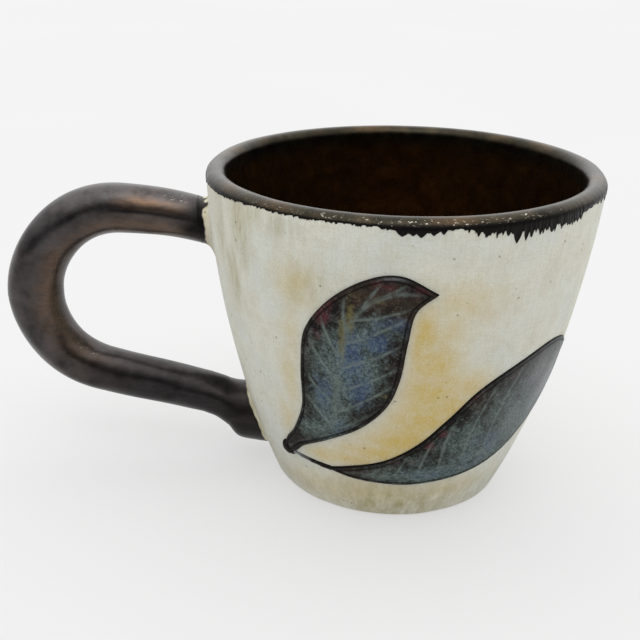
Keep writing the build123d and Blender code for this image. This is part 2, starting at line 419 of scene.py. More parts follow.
def leaf_finish(name, shift):
    """Dark leaf glaze: plum brown, with teal and speckled blue pools, red flushes, pale veins."""
    leaf = Finish(name)
    blots = leaf.noise(4.2 * mm, 4, 0.65, shift=shift)
    fine = leaf.noise(0.7 * mm, 4, 0.75, shift=shift + 2)
    speckle = leaf.noise(0.5 * mm, 4, 0.75, shift=shift + 9)
    patches = leaf.noise(1.6 * mm, 5, 0.7, shift=shift + 4)
    wander = leaf.plus(leaf.times(leaf.plus(blots, -0.5), 1.0),
                       leaf.times(leaf.plus(patches, -0.5), 1.2))

    def pool(attribute):
        """A painted stain, given a cloudy edge and thinner patches."""
        cloudy = leaf.span(leaf.plus(leaf.painted(attribute), wander), 0.20, 0.85)
        return leaf.times(cloudy, leaf.plus(0.55, leaf.times(patches, 0.6)))

    leaf.colour = leaf.ramp(blots, (0.34, shade(25, 22, 21)), (0.52, shade(36, 30, 27)),
                            (0.72, shade(52, 38, 36)))
    leaf.lay(leaf.times(pool("umber"), 0.8), shade(74, 61, 51))
    teal = leaf.ramp(fine, (0.36, shade(58, 70, 66)), (0.62, shade(122, 139, 136)))
    leaf.lay(pool("teal"), teal)
    blue_specks = leaf.times(pool("blue"), leaf.span(speckle, 0.38, 0.62))
    leaf.lay(leaf.times(blue_specks, 0.75), shade(62, 88, 146))
    leaf.lay(pool("red"), shade(88, 42, 48))
    leaf.lay(pool("olive"), shade(106, 100, 62))
    # Pale glaze on the stem, and painted sheen: a highlight on the upper leaf's top edge and a grey
    # sheen over the lower leaf's right side.
    leaf.lay(leaf.painted("pale_glaze_and_sheen"), shade(158, 161, 162))
    leaf.tint(fine, 0.54, 0.70, 0.40, shade(112, 120, 110))
    leaf.tint(speckle, 0.50, 0.62, 0.50, shade(22, 23, 25))
    broken = leaf.span(leaf.noise(1.8 * mm, 4, 0.6, shift=shift + 5), 0.26, 0.56)
    leaf.lay(leaf.times(leaf.painted("vein"), broken), shade(124, 136, 130))
    leaf.lay(leaf.painted("outline"), shade(13, 12, 12))
    relief = leaf.bumps(fine, 0.12 * mm, 0.7)
    relief = leaf.bumps(blots, 0.3 * mm, 0.5, relief)
    leaf.set(Base_Color=leaf.colour, Normal=relief, Metallic=0.0,
             Roughness=leaf.plus(0.42, leaf.times(fine, 0.25)), Specular_IOR_Level=0.05)
    return leaf.material


def clay_finish():
    """Bare fired stoneware, buff brown with iron specks and fine grog."""
    clay = Finish("bare_clay")
    broad = clay.noise(12 * mm, 4)
    grog = clay.noise(0.6 * mm, 3, 0.65)
    clay.colour = clay.ramp(broad, (0.35, shade(168, 140, 110)), (0.65, shade(190, 165, 134)))
    clay.tint(grog, 0.5, 0.7, 0.4, shade(136, 106, 80))
    clay.lay(clay.specks(1.6 * mm, 0.12), shade(74, 54, 40))
    relief = clay.bumps(grog, 0.18 * mm, 0.8)
    clay.set(Base_Color=clay.colour, Normal=relief,
             Roughness=clay.plus(0.78, clay.times(grog, 0.15)))
    return clay.material


# ---------------------------------------------------------------- floor, light and camera

def add_floor():
    """Pale, very wide floor."""
    radius = 6.0
    sides = 96
    glow = 0.53
    rim = [(radius * math.cos(turn), radius * math.sin(turn), 0) for turn in turns_of(sides)]
    floor = add_mesh("floor", rim + [(0, 0, 0)],
                     [(i, (i + 1) % sides, sides) for i in range(sides)])
    paper = Finish("pale_floor")
    tone = paper.ramp(paper.noise(0.4, 2), (0.3, (0.20, 0.20, 0.20, 1)),
                      (0.7, (0.21, 0.21, 0.21, 1)))
    paper.set(Base_Color=tone, Roughness=1.0, Specular_IOR_Level=0.0,
              Emission_Color=(1, 1, 1, 1), Emission_Strength=glow)
    floor.data.materials.append(paper.material)


def add_light():
    """A soft dome, bright overhead and dark low down at the front, and one broad lamp."""
    dome_levels = [(0.0, 0.04), (0.05, 0.06), (0.25, 0.65), (0.52, 1.45), (0.95, 2.40)]
    lean_to_back = 0.30
    lamp_direction = Vector((-0.06, -0.50, 1.0))
    lamp_energy = 0.42
    lamp_spread = math.radians(40)

    world = bpy.data.worlds.new("studio")
    bpy.context.scene.world = world
    world.use_nodes = True
    tree = world.node_tree
    parts = tree.nodes.new("ShaderNodeSeparateXYZ")
    tree.links.new(tree.nodes.new("ShaderNodeTexCoord").outputs["Generated"], parts.inputs[0])
    towards_back = tree.nodes.new("ShaderNodeMath")
    towards_back.operation = "MULTIPLY_ADD"
    tree.links.new(parts.outputs["Y"], towards_back.inputs[0])
    towards_back.inputs[1].default_value = lean_to_back
    tree.links.new(parts.outputs["Z"], towards_back.inputs[2])
    ramp = tree.nodes.new("ShaderNodeValToRGB")
    tree.links.new(towards_back.outputs["Value"], ramp.inputs["Fac"])
    elements = ramp.color_ramp.elements
    while len(elements) < len(dome_levels):
        elements.new(0.5)
    for element, (position, level) in zip(elements, dome_levels):
        element.position = position
        element.color = (level, level, level, 1)
    tree.links.new(ramp.outputs["Color"], tree.nodes["Background"].inputs["Color"])

    lamp_data = bpy.data.lights.new("soft_lamp", "SUN")
    lamp_data.energy = lamp_energy
    lamp_data.angle = lamp_spread
    lamp = bpy.data.objects.new("soft_lamp", lamp_data)
    lamp.rotation_euler = lamp_direction.to_track_quat("Z", "Y").to_euler()
    bpy.context.scene.collection.objects.link(lamp)


def add_camera():
    """Looks down at the mug from the front, close by."""
    elevation = math.radians(22.35)
    distance = 283.2 * mm
    aim = Vector((-20.9, 0.0, 43.1)) * mm
    roll = 0.038
    back = Vector((0, -math.cos(elevation), math.sin(elevation)))
    data = bpy.data.cameras.new("camera")
    data.sensor_width = 36
    data.lens = 56.25
    data.clip_start = 0.01
    camera = bpy.data.objects.new("camera", data)
    camera.location = aim + back * distance
    turned = back.to_track_quat("Z", "Y") @ Quaternion((0, 0, 1), roll)
    camera.rotation_euler = turned.to_euler()
    bpy.context.scene.collection.objects.link(camera)
    bpy.context.scene.camera = camera
    bpy.context.scene.view_settings.view_transform = "Standard"


# ---------------------------------------------------------------- cup

wall_columns = 360
drip_columns = 5 * wall_columns
wall_rows = 110
inside_rows = 60


def wall_rings(start, end, depth, rows):
    """Rings of points up or down the wall at a depth."""
    around = ring_of(wall_columns)
    return [place(around, wall_radius(height, depth), height)
            for height in np.linspace(start, end, rows)]


def over_lip(azimuth, travel, depth):
    """Places so far below the lip's start, or above it round the lip where travel is negative."""
    height = lip_level - np.maximum(travel, 0)
    turn = np.maximum(-travel, 0) / lip_radius
    half = wall_radius(lip_level, depth) - wall_radius(lip_level, lip_radius)
    return place(azimuth, wall_radius(height, depth) - half * (1 - np.cos(turn)),
                 height + half * np.sin(turn))


def lip_rings(depth_out, depth_in, start_turn, steps):
    """Rings over the round lip from a turn to its inner end, between two depths of the wall."""
    outer = wall_radius(lip_level, depth_out)
    inner = wall_radius(lip_level, depth_in)
    half = (outer - inner) / 2
    around = ring_of(wall_columns)
    return [place(around, (outer + inner) / 2 + half * math.cos(turn),
                  lip_level + half * math.sin(turn))
            for turn in np.linspace(start_turn, math.pi, steps)]


def corner_centre(depth, level, radius):
    """The wall's lean and how far out the centre of the corner's round is."""
    lean = math.atan2(wall_radius(level + radius, depth) - wall_radius(level, depth), radius)
    return lean, wall_radius(level, depth) - radius * (1 - math.sin(lean)) / math.cos(lean)


def corner_rings(depth, level, radius, steps=8):
    """Rings round the corner where the inside meets the floor, from the wall inwards."""
    lean, centre = corner_centre(depth, level, radius)
    around = ring_of(wall_columns)
    return [place(around, centre + radius * math.cos(turn),
                  level + radius - radius * math.sin(turn))
            for turn in np.linspace(lean, math.pi / 2, steps)]


def floor_rings(height, edge, steps):
    """Rings from the edge of a level disc to just short of its centre, and the centre."""
    around = ring_of(wall_columns)
    shares = np.linspace(1, 0, steps + 1)[1:-1]
    rings = [place(around, edge * share, height) for share in shares]
    return rings + [place(np.zeros(1), 0.0, height)]


# The hem between its drips: azimuth, and how far below the lip's start in mm.
hem_stations = [(-180, 0.1), (-60, 0.0), (-45, -0.7), (-10, -0.7), (-4, 0.3), (4, 0.3), (9, -0.6),
                (15, 0.1), (22, 0.8), (30, 1.3), (44, 1.0), (52, 0.1), (90, 0.2), (180, 0.1)]
# Drips of the rim glaze: azimuth, length below the hem in mm, half width in degrees.
main_drips = [(-4.0, 1.1, 1.5), (-1.4, 0.9, 1.0), (0.6, 1.3, 1.2), (3.6, 0.8, 0.8), (6.0, 0.9, 0.7),
              (14.6, 1.6, 0.6), (17.5, 1.2, 0.8), (20.2, 0.7, 0.7), (22.7, 1.3, 0.7),
              (25.5, 3.2, 1.3), (28.2, 2.6, 0.8), (29.7, 0.9, 1.0), (32.8, 1.7, 0.7),
              (34.8, 0.9, 0.7), (37.0, 1.9, 1.1), (40.5, 1.1, 0.8), (44.1, 1.5, 1.4),
              (47.5, 0.7, 1.2), (52.0, 0.7, 1.6)]
# Small drips: how many, and the ranges that their azimuth, length and half width come from.
small_drips = [(50, (58, 312), (0.4, 2.0), (0.5, 1.3)),
               (60, (11, 50), (0.5, 2.0), (0.25, 0.5)),
               (620, (-180, 180), (0.1, 0.5), (0.22, 0.5))]


hem_thickness = 0.22 * mm


def hem_drop(azimuth):
    """How far the rim glaze comes down below the lip's start: a ragged hem of teeth."""
    stations = np.array(hem_stations)
    drop = np.interp(azimuth, stations[:, 0], stations[:, 1])
    chance = random.Random(7)
    drips = list(main_drips)
    for count, *ranges in small_drips:
        for _ in range(count):
            drips.append([chance.uniform(*limits) for limits in ranges])
    length = np.zeros(len(azimuth))
    for centre, depth, half_width in drips:
        away = np.abs((azimuth - centre + 180) % 360 - 180) / half_width
        length = np.maximum(length, depth * unit(1 - away)**0.55)
    return (drop + length) * mm


def make_cup_wall(clay):
    """The clay under both coats, with its worn foot ring."""
    worn = 0.5 * mm
    first_lip_turn = 0.3
    recess = floor_low.z
    foot = wall_radius(0.0, coat)
    ring_inside = foot - foot_ring_width
    rings = wall_rings(worn, lip_level, coat, wall_rows)
    rings += lip_rings(coat, inner_depth, first_lip_turn, 7)
    rings += wall_rings(lip_level, floor_high.z + corner_radius, inner_depth, inside_rows)[1:]
    rings += corner_rings(inner_depth, floor_high.z, corner_radius + coat)
    for radius, height in [(floor_radius, floor_high.z), (floor_radius, recess),
                           (ring_inside - worn, recess), (ring_inside, recess - worn),
                           (ring_inside, worn), (ring_inside + worn, 0.0), (foot - worn, 0.0)]:
        rings.append(place(ring_of(wall_columns), radius, height))
    wall = solid_of_rings("stoneware_wall", rings, joined_ends=True)
    finish_piece(wall, clay, "stoneware_clay", "cup_wall")


def make_cup_floor(clay):
    """The floor slab, with the spiral that trimming left underneath."""
    around = ring_of(wall_columns)
    spiral_depth = 0.12 * mm
    spiral_turn = 60              # radians, from the centre to the edge
    rings = [place(np.zeros(1), 0.0, floor_low.z)]
    for share in np.linspace(0, 1, 41)[1:-1]:
        groove = spiral_depth * np.sin(share * spiral_turn + np.radians(around))
        rings.append(place(around, floor_radius * share, floor_low.z + groove))
    rings += [place(around, floor_radius, level) for level in (floor_low.z, floor_high.z)]
    rings += floor_rings(floor_high.z, floor_radius, 12)
    slab = solid_of_rings("floor_slab", rings)
    finish_piece(slab, clay, "stoneware_clay", "cup_floor")


def glaze_against_clay(drop):
    """Rings from the middle of the floor, up the clay's inside and over the lip to the hem."""
    _, floor_edge = corner_centre(inner_depth, floor_high.z, corner_radius + coat)
    wall_start = floor_high.z + corner_radius * 1.1
    rings = floor_rings(floor_high.z, floor_edge, 4)[::-1]
    rings += corner_rings(inner_depth, floor_high.z, corner_radius + coat)[::-1]
    rings += wall_rings(wall_start, lip_level, inner_depth, 24)[:-1]
    rings += lip_rings(coat, inner_depth, slip_reach / lip_radius, 5)[::-1]
    return rings + [over_lip(ring_of(drip_columns), drop, hem_thickness * 0.6)]


def glaze_face(drop):
    """Rings from the thick roll at the hem, over the lip, and down inside to the floor."""
    around = ring_of(drip_columns)
    film = 0.25                   # the glaze's thickness on the crest, as a share of the roll's
    roll_reach = 1.5 * mm
    edge_round = 0.25 * mm
    crowding = 1.7                # draws the rows together towards the hem
    crest = -lip_radius * math.pi / 2
    rings = []
    for step in np.linspace(0, 1, 17):
        travel = drop + (crest - drop) * step**crowding
        above_hem = drop - travel
        roll = film + (1 - film) * bell(above_hem, roll_reach)
        rounding = np.sqrt(np.clip(above_hem / edge_round, 0.02, 1))
        rings.append(over_lip(around, travel, -hem_thickness * roll * rounding))
    for share in np.linspace(0, 1, 8)[1:]:
        rings.append(over_lip(around, crest * (1 + share), -hem_thickness * film * (1 - share)))
    wall_end = inside_level + corner_radius * 1.1
    rings += wall_rings(lip_level, wall_end, wall_thickness, inside_rows)[1:]
    rings += corner_rings(wall_thickness, inside_level, corner_radius)
    _, floor_edge = corner_centre(wall_thickness, inside_level, corner_radius)
    return rings + floor_rings(inside_level, floor_edge, 14)


def make_liner(glaze):
    """Dark glaze inside the cup and over its lip, ending outside in a ragged hem."""
    drop = hem_drop(ring_of(drip_columns))
    liner = solid_of_rings("liner_and_rim_glaze", glaze_against_clay(drop) + glaze_face(drop))

    points = points_of(liner)
    height = points[:, 2] - rim_tilt * points[:, 0]
    spread = np.hypot(points[:, 0], points[:, 1])
    outside = spread > wall_radius(np.clip(height, 0, lip_level), wall_thickness / 2)
    azimuth = azimuth_of(points)
    up_lip = unit((height - lip_level) / lip_radius)
    travel = np.where(height > lip_level, -lip_radius * np.arcsin(up_lip), lip_level - height)

    # Burnt black at the hem, painted shade on the lip's outer face a little higher up the lip at
    # the front, and painted shade dimming the glaze deep inside.
    dark_top = -(1.25 + 0.35 * bell(azimuth - 8, 35)) * mm
    dark_fade = 0.5 * mm
    dim_below, dim_fade, dimmest = 34 * mm, 26 * mm, 0.75
    brown_below, brown_fade = lip_level - 0.6 * mm, 4 * mm
    hem_soot_and_shade = outside * unit((travel - dark_top) / dark_fade)
    inside_shade = ~outside * dimmest * unit((dim_below - height) / dim_fade)
    paint(liner, "soot_and_shade", hem_soot_and_shade + inside_shade)
    paint(liner, "inside", ~outside * unit((brown_below - height) / brown_fade))
    patches = unit(np.sin(np.radians(azimuth * 5) + 1) * np.sin(np.radians(azimuth * 11)))
    paint(liner, "copper", 0.7 * up_lip * patches)
    # Painted glints: highlights painted near the crest, strongest towards the front.
    glint_low, glint_high = lip_level + 1.1 * mm, lip_level + 2.2 * mm
    near_crest = outside & (height > glint_low) & (height < glint_high)
    paint(liner, "specks_and_glints", 0.8 * bell(azimuth - 2, 42) * near_crest)
    finish_piece(liner, glaze, "liner_glaze", "liner_glaze")


# Washes of stain, and of painted shade, on the slip: azimuth, height in mm, reach round and up in
# mm, strength.
ochre_washes = [(-2, 42, 15, 24, 0.28), (3.5, 60, 4, 9, 0.95), (7, 52, 6, 8, 0.95),
                (9, 44, 8, 8, 0.95), (7, 36, 8, 8, 1.0), (2, 29, 10, 5, 1.0),
                (-6, 24, 10, 3.2, 0.95), (-18, 20.8, 10, 2.4, 0.8),
                (-28, 20, 6, 2.4, 0.65), (14, 40, 6, 6, 0.95), (19, 45, 5, 5, 0.75),
                (2.5, 67, 2.5, 6, 0.7), (9, 60, 6, 9, 0.55), (13, 69, 8, 5, 0.45),
                (-32, 70, 5, 5, 0.5), (-34, 55, 2.5, 9, 0.4), (-37, 42, 2.5, 10, 0.45),
                (-41, 28, 3, 6, 0.5), (-30, 8, 10, 4, 0.4), (-5, 9, 14, 4, 0.5),
                (22, 10, 12, 3, 0.4), (120, 40, 12, 10, 0.5), (165, 60, 16, 8, 0.45),
                (-130, 30, 12, 10, 0.5), (-160, 70, 12, 6, 0.4)]
olive_washes = [(-52, 80, 3, 9, 0.7), (-58, 66, 4, 7, 0.6), (-47, 84, 4, 3, 0.5),
                (-37, 83, 5, 4, 0.45), (-28, 70, 5, 5, 0.35), (-40, 5, 14, 4, 0.4),
                (2, 5, 18, 6, 0.75), (40, 6, 14, 5, 0.45), (-64, 78, 3, 8, 0.5),
                (-74, 18, 4, 13, 0.8), (-70, 14, 4, 9, 0.5), (100, 70, 12, 8, 0.4),
                (180, 30, 14, 9, 0.4), (-110, 60, 8, 14, 0.4), (-150, 10, 20, 5, 0.5),
                (110, 8, 20, 4, 0.5)]
# Grey washes low on the wall; the one on the left below the handle is painted shade.
grey_and_shade_washes = [(-62, 10, 9, 14, 0.25), (70, 6, 10, 8, 0.2), (-120, 6, 20, 6, 0.4)]


def wash(azimuth, height, blots):
    """Strength of a wash of stain, shade or sheen at places on the wall, from the blots it is made
    of.
    """
    strength = np.zeros(np.broadcast(azimuth, height).shape)
    for centre, level, round_reach, up_reach, amount in blots:
        away = (azimuth - centre + 180) % 360 - 180
        aside = np.radians(away) * wall_radius(height) / (round_reach * mm)
        above = (height - level * mm) / (up_reach * mm)
        strength = np.maximum(strength, amount * np.exp(-(aside**2 + above**2) / 1.6))
    return strength


def make_engobe(slip):
    """The white slip's coat, which runs up over the lip's edge under the rim glaze."""
    low = 0.7 * mm
    around = ring_of(wall_columns)
    inner = coat * 1.2            # a little inside the clay's surface
    rings = wall_rings(low, lip_level, 0.0, 130)
    rings += [over_lip(around, -slip_reach * share, 0.0) for share in (0.35, 0.7, 1.0)]
    rings.append(over_lip(around, -slip_reach, inner))
    rings += wall_rings(lip_level, low, inner, inside_rows)
    engobe = solid_of_rings("white_slip_coat", rings, joined_ends=True)
    points = points_of(engobe)
    azimuth = azimuth_of(points)
    height = np.clip(points[:, 2], 0, lip_level)
    clear_width = 1.3 * mm        # the ochre is weaker close to the upper leaf
    near_leaf = bell(distance_to(flat(azimuth, height), [upper_leaf.outline]), clear_width)
    paint(engobe, "ochre", wash(azimuth, height, ochre_washes) * (1 - 0.5 * near_leaf))
    paint(engobe, "olive", wash(azimuth, height, olive_washes))
    paint(engobe, "grey_wash_and_shade", wash(azimuth, height, grey_and_shade_washes))
    finish_piece(engobe, slip, "white_engobe", "white_engobe")


# ---------------------------------------------------------------- leaves

def flat(azimuth, height):
    """Places on the wall, unrolled: metres round and metres up."""
    unrolled_radius = 0.85 * rim_radius
    return np.stack([np.radians(azimuth) * unrolled_radius, height], axis=-1)


margin_line = 1.20 * mm       # how far the line cut beside a leaf's margin is from it
same_place = 0.004 * mm       # points closer than this become one


class Leaf:
    """A raised leaf: two margins from its base to its tip, a midrib, and veins to each margin."""

    rows = 260
    columns = 150

    def __init__(self, base, one_side, tip, other_side, midrib):
        self.sides = [evenly(smooth_through([base, *side, tip], 12), self.rows)
                      for side in (one_side, other_side)]
        both = np.vstack([self.sides[0], self.sides[1][::-1]])
        self.outline = flat(both[:, 0], both[:, 1] * mm)
        middle = evenly(smooth_through(midrib, 10), 80)
        self.midrib = flat(middle[:, 0], middle[:, 1] * mm)
        self.veins = []

    def grid(self):
        """Azimuth and height of each point, and its place along and across the leaf."""
        along = np.linspace(0, 1, self.rows)[:, None] * np.ones(self.columns)
        across = np.ones((self.rows, 1)) * np.linspace(0, 1, self.columns)
        one, other = (side[:, None, :] for side in self.sides)
        places = one + (other - one) * across[..., None]
        return places[..., 0], places[..., 1] * mm, along, across

    def add_veins(self, side, count, roots, ends):
        """Veins to one margin, between shares along the midrib and shares along the margin."""
        chance = random.Random(count)
        margin = self.sides[side]
        ahead = self.midrib[-1] - self.midrib[0]
        ahead = ahead / np.linalg.norm(ahead)
        for root_share, end_share in zip(np.linspace(*roots, count), np.linspace(*ends, count)):
            stray = chance.uniform(-0.015, 0.015)
            root = self.midrib[round(root_share * (len(self.midrib) - 1))]
            azimuth, height = margin[round((end_share + stray) * (self.rows - 1))]
            end = flat(azimuth, height * mm)
            sag = 0.14 * np.linalg.norm(end - root)
            elbow = root + 0.6 * (end - root) - sag * ahead
            t = np.linspace(0, 0.96, 10)[:, None]
            self.veins.append((1 - t)**2 * root + 2 * t * (1 - t) * elbow + t**2 * end)


def leaf_points(leaf, relief, tip_relief):
    """Points of a leaf's cushioned top with its cut veins, and of its back in the clay.

    Towards the tip its relief falls to the share tip_relief.
    """
    azimuth, height, along, across = leaf.grid()
    unrolled = flat(azimuth, height).reshape(-1, 2)
    to_edge, to_vein, to_midrib = [distance_to(unrolled, lines).reshape(azimuth.shape)
                                   for lines in ([leaf.outline], leaf.veins, [leaf.midrib])]
    edge_round = 1.1 * mm
    groove_depth, vein_depth, midrib_depth = 0.25 * mm, 0.20 * mm, 0.30 * mm
    ripple_size = 0.15 * mm
    shoulder = np.sqrt(unit(1 - (1 - unit(to_edge / edge_round))**2))
    groove = groove_depth * bell(to_edge - margin_line, 0.28 * mm)
    cut = vein_depth * bell(to_vein, 0.22 * mm) + midrib_depth * bell(to_midrib, 0.3 * mm)
    ripple = ripple_size * np.sin(along * 40 + across * 9) * unit(to_edge / (3 * mm))
    rise = relief * shoulder - groove - cut * unit(to_edge / (2 * mm)) + ripple
    sunk = 0.25 * mm * (1 - shoulder)
    rise = rise * (1 - (1 - tip_relief) * unit(along * 2 - 0.8))
    top = place(azimuth, wall_radius(height, sunk - rise), height)
    return top, place(azimuth, wall_radius(height, coat * 0.9), height)


def build_leaf(name, node, leaf, material, relief, tip_relief, stains_and_sheen):
    """Closed mesh of a leaf that stands on the clay, with its lines, stains and painted sheen."""
    top, bottom = leaf_points(leaf, relief, tip_relief)
    rows, columns = leaf.rows, leaf.columns
    count = rows * columns
    faces = []
    for i in range(rows - 1):
        for j in range(columns - 1):
            a = i * columns + j
            face = (a, a + 1, a + columns + 1, a + columns)
            faces.append(face)
            faces.append(tuple(count + k for k in face[::-1]))
    for i in range(rows - 1):
        for j, flip in ((0, False), (columns - 1, True)):
            a = i * columns + j
            side = (a, a + columns, count + a + columns, count + a)
            faces.append(side[::-1] if flip else side)
    piece = add_mesh(name, np.concatenate([top.reshape(-1, 3), bottom.reshape(-1, 3)]), faces)
    merge_close(piece, same_place)

    points = points_of(piece)
    azimuth = azimuth_of(points)
    height = points[:, 2] - rim_tilt * points[:, 0] * points[:, 2] / cup_height
    here = flat(azimuth, height)
    edge = distance_to(here, [leaf.outline])
    vein = 0.66 * bell(distance_to(here, leaf.veins), 0.34 * mm)
    rib = 0.55 * bell(distance_to(here, [leaf.midrib]), 0.55 * mm)
    margin = unit(1.4 - edge / (0.45 * mm))
    paint(piece, "outline", np.maximum(margin, 0.80 * bell(edge - margin_line, 0.24 * mm)))
    paint(piece, "vein", np.maximum(vein, rib) * unit(edge / (2.2 * mm) - 0.5))
    for mark, blots in stains_and_sheen.items():
        paint(piece, mark, wash(azimuth, height, blots))
    finish_piece(piece, material, "leaf_glaze", node)


def merge_close(piece, distance):
    """Joins points that fall together, as at a leaf's two ends."""
    cleaned = bmesh.new()
    cleaned.from_mesh(piece.data)
    bmesh.ops.remove_doubles(cleaned, verts=cleaned.verts, dist=distance)
    bmesh.ops.recalc_face_normals(cleaned, faces=cleaned.faces)
    cleaned.to_mesh(piece.data)
    cleaned.free()
    piece.data.polygons.foreach_set("use_smooth", np.ones(len(piece.data.polygons), bool))


upper_leaf = Leaf((-46.5, 17.6),
                  [(-44.2, 21.9), (-38.6, 27.0), (-33.2, 36.0), (-31.9, 48.0), (-29.6, 59.0),
                   (-21.7, 68.4), (-11.8, 74.4), (-3.0, 75.6)],
                  (6.6, 71.2),
                  [(-42.2, 17.2), (-36.0, 21.1), (-25.0, 26.0), (-13.0, 32.0), (-5.0, 39.3),
                   (-1.6, 47.5), (-0.3, 58.0), (1.2, 66.5)],
                  [(-44.0, 18.6), (-36.0, 22.8), (-27.0, 27.5), (-22.0, 32.5), (-20.8, 40.0),
                   (-19.2, 48.0), (-17.8, 56.0), (-15.5, 63.5), (-11.0, 68.6), (-4.0, 71.5),
                   (3.0, 71.6)])
lower_leaf = Leaf((-28.0, 16.0),
                  [(-18.4, 18.1), (-4.3, 21.8), (6.8, 27.8), (15.2, 35.5), (23.9, 43.6),
                   (36.0, 49.3), (48.0, 52.0), (59.0, 51.2), (71.0, 46.5)],
                  (88.0, 38.0),
                  [(-16.3, 14.0), (2.3, 13.1), (19.7, 14.0), (36.5, 16.4), (49.0, 21.0),
                   (61.0, 28.0), (74.0, 34.5)],
                  [(-26.0, 16.0), (-12.0, 16.3), (4.0, 17.0), (20.0, 19.2), (36.0, 23.5),
                   (52.0, 29.0), (68.0, 34.5), (84.0, 38.0)])


# Stains in each leaf's glaze, as in the slip's washes, and last in each a painted sheen.
upper_leaf_stains_and_sheen = {
    "umber": [(-9, 70, 8, 3.5, 0.9), (-16, 65, 3, 5, 0.6), (-28, 57, 2, 6, 0.5),
              (-2, 68, 4, 4, 0.7)],
    "teal": [(-19, 49, 6, 11, 1.0), (-22, 38, 5, 9, 0.95), (-28, 30, 5, 4, 0.8),
             (-12, 58, 5, 6, 0.9), (-12, 50, 4.5, 8, 0.9), (-8, 62, 5, 4, 0.7)],
    "blue": [(-15.5, 54, 3, 6, 1.0), (-9, 58.5, 3, 3, 1.0), (-13, 45, 2.6, 4.5, 0.9),
             (-24, 42, 2.2, 6, 0.7), (-20, 32, 2.5, 2.5, 0.5), (-5, 63.5, 4, 2, 0.6)],
    "olive": [(-18, 58.5, 0.8, 5, 0.9), (-15.8, 64.5, 0.9, 4, 0.8), (-10, 69.5, 6, 1.2, 0.35),
              (-6, 43.5, 3, 0.6, 0.45)],
    "red": [(-23.5, 63.5, 1.8, 2.4, 0.8), (-21.5, 67, 1.4, 1.8, 0.6), (-8, 73, 3, 1.4, 0.55),
            (2, 72.5, 2.2, 1.3, 0.65), (-25, 59, 1, 2, 0.5)],
    # Painted highlight along the top edge.
    "pale_glaze_and_sheen": [(-5, 75.8, 4, 0.7, 0.45)]}
lower_leaf_stains_and_sheen = {
    "umber": [(-12, 17.0, 9, 2.2, 0.7), (28, 40, 8, 3, 0.5)],
    "teal": [(15, 17, 14, 3.5, 0.95), (33, 22, 11, 6, 1.0), (46, 30, 9, 9, 1.0),
             (24, 26, 8, 9, 0.8), (36, 36, 7, 8, 0.7), (74, 39, 9, 9, 1.0),
             (8, 21, 6, 4, 0.6), (2, 15.5, 7, 1.6, 0.5)],
    "blue": [(13, 17.5, 6, 1.8, 0.6), (35, 25, 5, 4, 0.6), (28, 20, 5, 2.5, 0.5),
             (46, 40, 5, 4, 0.4)],
    "red": [(10.5, 27.5, 1, 1.3, 0.8), (14, 31, 1.2, 1.3, 0.75), (22, 42, 1.6, 1, 0.45),
            (46, 49.5, 2.5, 1.5, 0.5), (36, 46, 1.5, 1.5, 0.4), (2, 22, 3, 1, 0.4)],
    # Painted grey sheen over the right side.
    "pale_glaze_and_sheen": [(62, 38, 9, 12, 1.0), (52, 44, 9, 7, 0.65), (46, 32, 8, 10, 0.35)]}


def make_bud(material):
    """Small knob of clay pressed on at the upper leaf's base, where the leaves spring from."""
    centre_azimuth, centre_height = -45.4, 17.7 * mm
    half_width, half_height, proud_by = 1.9 * mm, 2.5 * mm, 1.5 * mm
    last_polar = 0.62 * math.pi   # the knob is rounded past its widest ring
    slant = 0.25
    count = 48
    turns = turns_of(count)
    radius = wall_radius(centre_height)
    rings = []
    for level in np.linspace(0, 1, 16)[1:-1]:
        polar = last_polar * level
        lumpy = 1 + 0.08 * np.sin(2 * turns + 1) + 0.05 * np.sin(5 * turns + 7 * level)
        side = half_width * math.sin(polar) * lumpy * np.cos(turns)
        up = half_height * math.sin(polar) * lumpy * np.sin(turns)
        height = centre_height + up - slant * side
        azimuth = centre_azimuth + np.degrees(side / radius)
        rings.append(place(azimuth, wall_radius(height, -proud_by * math.cos(polar)), height))
    middle = np.array([centre_azimuth])
    crown = place(middle, wall_radius(centre_height, -proud_by), centre_height)
    root_depth = 0.35 * mm
    root = place(middle, wall_radius(centre_height, root_depth), centre_height)
    bud = solid_of_rings("bud_knob", [crown] + rings + [root])
    paint(bud, "outline", np.full(len(bud.data.vertices), 0.35))
    finish_piece(bud, material, "leaf_glaze", "leaf_bud")


def make_stem(material):
    """Low ridge that runs from the bud to the lower leaf, widening towards it."""
    route = evenly(smooth_through([(-44.4, 16.9), (-41.0, 16.7), (-36.0, 16.5), (-30.5, 16.2),
                                   (-25.5, 15.9)], 10), 60)
    narrow, widening, proud_by = 0.55 * mm, 0.35 * mm, 0.55 * mm
    count = 20
    turns = turns_of(count)
    rings = []
    for azimuth, height in route:
        share = (azimuth - route[0, 0]) / (route[-1, 0] - route[0, 0])
        half = narrow + widening * share**1.5
        up = height * mm + half * np.cos(turns)
        proud = proud_by * np.sin(turns) * (0.8 + 0.2 * math.sin(share * 25))
        rings.append(place(np.full(count, azimuth), wall_radius(up, -proud), up))
    ends = [place(np.array([azimuth]), wall_radius(height * mm), height * mm)
            for azimuth, height in (route[0], route[-1])]
    stem = solid_of_rings("leaf_stem_ridge", [ends[0]] + rings + [ends[1]])
    share = np.concatenate([[0], np.repeat(np.linspace(0, 1, len(route)), count), [1]])
    paint(stem, "pale_glaze_and_sheen", 0.85 * unit(1.3 - 2.2 * share))
    paint(stem, "outline", 0.75 * share**2)
    finish_piece(stem, material, "leaf_glaze", "leaf_stem")


# ---------------------------------------------------------------- handle

handle_waist = 48.7 * mm
upper_bend = 25.2 * mm
waist_radius = 7.75 * mm
handle_reach = -handle_low.x - waist_radius
